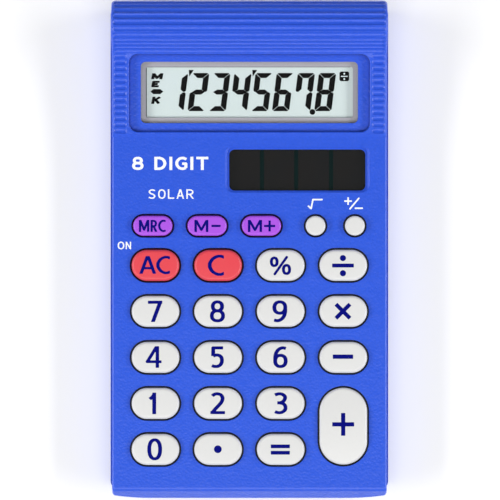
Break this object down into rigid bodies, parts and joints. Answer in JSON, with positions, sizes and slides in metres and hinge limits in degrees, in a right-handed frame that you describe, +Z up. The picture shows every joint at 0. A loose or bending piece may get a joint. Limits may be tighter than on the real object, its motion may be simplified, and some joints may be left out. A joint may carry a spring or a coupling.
{
  "type": "desk calculator",
  "caption": "Solar desk calculator in blue plastic with a flat keyboard, tilted display in a recess, ribbed wave crest and spring-loaded rubber-dome keys.",
  "frame": {"origin": "on the table, under the middle of the case", "axes": "+Z up, +Y from the keyboard to the crest behind the display, +X to the right of someone using it"},
  "size_m": [0.0672, 0.12, 0.0172],
  "materials": {
    "case_plastic": "fine moulded texture",
    "white_key": "satin moulded",
    "red_key": "satin moulded",
    "purple_key": "satin moulded",
    "foot_rubber": "matt",
    "screw_steel": "zinc plated",
    "clear_window": "clear acrylic",
    "grey_mask": "printed grey",
    "polariser_film": "neutral film",
    "display_glass": "polished",
    "reflector_film": "satin grey green",
    "foam": "open cell foam",
    "zebra_rubber": "striped conductive rubber",
    "solar_glass": "dark amorphous cell on glass",
    "red_insulation": "wire insulation",
    "black_insulation": "wire insulation",
    "board_laminate": "phenolic board with green resist",
    "black_epoxy": "glossy drop",
    "capacitor_sleeve": "shrink sleeve",
    "diode_glass": "glass bead",
    "resistor_body": "lacquer",
    "keypad_rubber": "silicone",
    "carbon_rubber": "conductive"
  },
  "bodies": {
    "case": {"front_case": "case_plastic", "rear_case": "case_plastic", "foot_front_left": "foot_rubber", "foot_front_right": "foot_rubber", "foot_rear_left": "foot_rubber", "foot_rear_right": "foot_rubber", "case_screws": "screw_steel", "board_screws": "screw_steel", "display_window": "clear_window", "display_frame": "grey_mask", "lcd_front_polariser": "polariser_film", "lcd_front_glass": "display_glass", "lcd_rear_glass": "display_glass", "lcd_reflector": "reflector_film", "lcd_pad": "foam", "zebra_connector": "zebra_rubber", "solar_window": "clear_window", "solar_cell": "solar_glass", "solar_pad": "foam", "solar_lead_positive": "red_insulation", "solar_lead_negative": "black_insulation", "circuit_board": "board_laminate", "chip_cover": "black_epoxy", "capacitor": "capacitor_sleeve", "diode": "diode_glass", "resistors": "resistor_body", "keypad_sheet": "keypad_rubber", "contact_pills": "carbon_rubber"},
    "key_ac": {"key_ac": "red_key"},
    "key_c": {"key_c": "red_key"},
    "key_percent": {"key_percent": "white_key"},
    "key_divide": {"key_divide": "white_key"},
    "key_7": {"key_7": "white_key"},
    "key_8": {"key_8": "white_key"},
    "key_9": {"key_9": "white_key"},
    "key_multiply": {"key_multiply": "white_key"},
    "key_4": {"key_4": "white_key"},
    "key_5": {"key_5": "white_key"},
    "key_6": {"key_6": "white_key"},
    "key_minus": {"key_minus": "white_key"},
    "key_1": {"key_1": "white_key"},
    "key_2": {"key_2": "white_key"},
    "key_3": {"key_3": "white_key"},
    "key_0": {"key_0": "white_key"},
    "key_point": {"key_point": "white_key"},
    "key_equals": {"key_equals": "white_key"},
    "key_plus": {"key_plus": "white_key"},
    "key_mrc": {"key_mrc": "purple_key"},
    "key_memory_minus": {"key_memory_minus": "purple_key"},
    "key_memory_plus": {"key_memory_plus": "purple_key"},
    "key_square_root": {"key_square_root": "white_key"},
    "key_sign_change": {"key_sign_change": "white_key"}
  },
  "joints": [
    {"name": "press_ac", "type": "slide", "parent": "case", "child": "key_ac", "axis": [0, 0, -1], "range_m": [0, 0.0009], "stiffness_N_per_m": 700, "springref_m": -0.0004, "deforming": ["keypad_sheet"]},
    {"name": "press_c", "type": "slide", "parent": "case", "child": "key_c", "axis": [0, 0, -1], "range_m": [0, 0.0009], "stiffness_N_per_m": 700, "springref_m": -0.0004, "deforming": ["keypad_sheet"]},
    {"name": "press_percent", "type": "slide", "parent": "case", "child": "key_percent", "axis": [0, 0, -1], "range_m": [0, 0.0009], "stiffness_N_per_m": 700, "springref_m": -0.0004, "deforming": ["keypad_sheet"]},
    {"name": "press_divide", "type": "slide", "parent": "case", "child": "key_divide", "axis": [0, 0, -1], "range_m": [0, 0.0009], "stiffness_N_per_m": 700, "springref_m": -0.0004, "deforming": ["keypad_sheet"]},
    {"name": "press_7", "type": "slide", "parent": "case", "child": "key_7", "axis": [0, 0, -1], "range_m": [0, 0.0009], "stiffness_N_per_m": 700, "springref_m": -0.0004, "deforming": ["keypad_sheet"]},
    {"name": "press_8", "type": "slide", "parent": "case", "child": "key_8", "axis": [0, 0, -1], "range_m": [0, 0.0009], "stiffness_N_per_m": 700, "springref_m": -0.0004, "deforming": ["keypad_sheet"]},
    {"name": "press_9", "type": "slide", "parent": "case", "child": "key_9", "axis": [0, 0, -1], "range_m": [0, 0.0009], "stiffness_N_per_m": 700, "springref_m": -0.0004, "deforming": ["keypad_sheet"]},
    {"name": "press_multiply", "type": "slide", "parent": "case", "child": "key_multiply", "axis": [0, 0, -1], "range_m": [0, 0.0009], "stiffness_N_per_m": 700, "springref_m": -0.0004, "deforming": ["keypad_sheet"]},
    {"name": "press_4", "type": "slide", "parent": "case", "child": "key_4", "axis": [0, 0, -1], "range_m": [0, 0.0009], "stiffness_N_per_m": 700, "springref_m": -0.0004, "deforming": ["keypad_sheet"]},
    {"name": "press_5", "type": "slide", "parent": "case", "child": "key_5", "axis": [0, 0, -1], "range_m": [0, 0.0009], "stiffness_N_per_m": 700, "springref_m": -0.0004, "deforming": ["keypad_sheet"]},
    {"name": "press_6", "type": "slide", "parent": "case", "child": "key_6", "axis": [0, 0, -1], "range_m": [0, 0.0009], "stiffness_N_per_m": 700, "springref_m": -0.0004, "deforming": ["keypad_sheet"]},
    {"name": "press_minus", "type": "slide", "parent": "case", "child": "key_minus", "axis": [0, 0, -1], "range_m": [0, 0.0009], "stiffness_N_per_m": 700, "springref_m": -0.0004, "deforming": ["keypad_sheet"]},
    {"name": "press_1", "type": "slide", "parent": "case", "child": "key_1", "axis": [0, 0, -1], "range_m": [0, 0.0009], "stiffness_N_per_m": 700, "springref_m": -0.0004, "deforming": ["keypad_sheet"]},
    {"name": "press_2", "type": "slide", "parent": "case", "child": "key_2", "axis": [0, 0, -1], "range_m": [0, 0.0009], "stiffness_N_per_m": 700, "springref_m": -0.0004, "deforming": ["keypad_sheet"]},
    {"name": "press_3", "type": "slide", "parent": "case", "child": "key_3", "axis": [0, 0, -1], "range_m": [0, 0.0009], "stiffness_N_per_m": 700, "springref_m": -0.0004, "deforming": ["keypad_sheet"]},
    {"name": "press_0", "type": "slide", "parent": "case", "child": "key_0", "axis": [0, 0, -1], "range_m": [0, 0.0009], "stiffness_N_per_m": 700, "springref_m": -0.0004, "deforming": ["keypad_sheet"]},
    {"name": "press_point", "type": "slide", "parent": "case", "child": "key_point", "axis": [0, 0, -1], "range_m": [0, 0.0009], "stiffness_N_per_m": 700, "springref_m": -0.0004, "deforming": ["keypad_sheet"]},
    {"name": "press_equals", "type": "slide", "parent": "case", "child": "key_equals", "axis": [0, 0, -1], "range_m": [0, 0.0009], "stiffness_N_per_m": 700, "springref_m": -0.0004, "deforming": ["keypad_sheet"]},
    {"name": "press_plus", "type": "slide", "parent": "case", "child": "key_plus", "axis": [0, 0, -1], "range_m": [0, 0.0009], "stiffness_N_per_m": 700, "springref_m": -0.0004, "deforming": ["keypad_sheet"]},
    {"name": "press_mrc", "type": "slide", "parent": "case", "child": "key_mrc", "axis": [0, 0, -1], "range_m": [0, 0.0009], "stiffness_N_per_m": 700, "springref_m": -0.0004, "deforming": ["keypad_sheet"]},
    {"name": "press_memory_minus", "type": "slide", "parent": "case", "child": "key_memory_minus", "axis": [0, 0, -1], "range_m": [0, 0.0009], "stiffness_N_per_m": 700, "springref_m": -0.0004, "deforming": ["keypad_sheet"]},
    {"name": "press_memory_plus", "type": "slide", "parent": "case", "child": "key_memory_plus", "axis": [0, 0, -1], "range_m": [0, 0.0009], "stiffness_N_per_m": 700, "springref_m": -0.0004, "deforming": ["keypad_sheet"]},
    {"name": "press_square_root", "type": "slide", "parent": "case", "child": "key_square_root", "axis": [0, 0, -1], "range_m": [0, 0.0009], "stiffness_N_per_m": 700, "springref_m": -0.0004, "deforming": ["keypad_sheet"]},
    {"name": "press_sign_change", "type": "slide", "parent": "case", "child": "key_sign_change", "axis": [0, 0, -1], "range_m": [0, 0.0009], "stiffness_N_per_m": 700, "springref_m": -0.0004, "deforming": ["keypad_sheet"]}
  ]
}
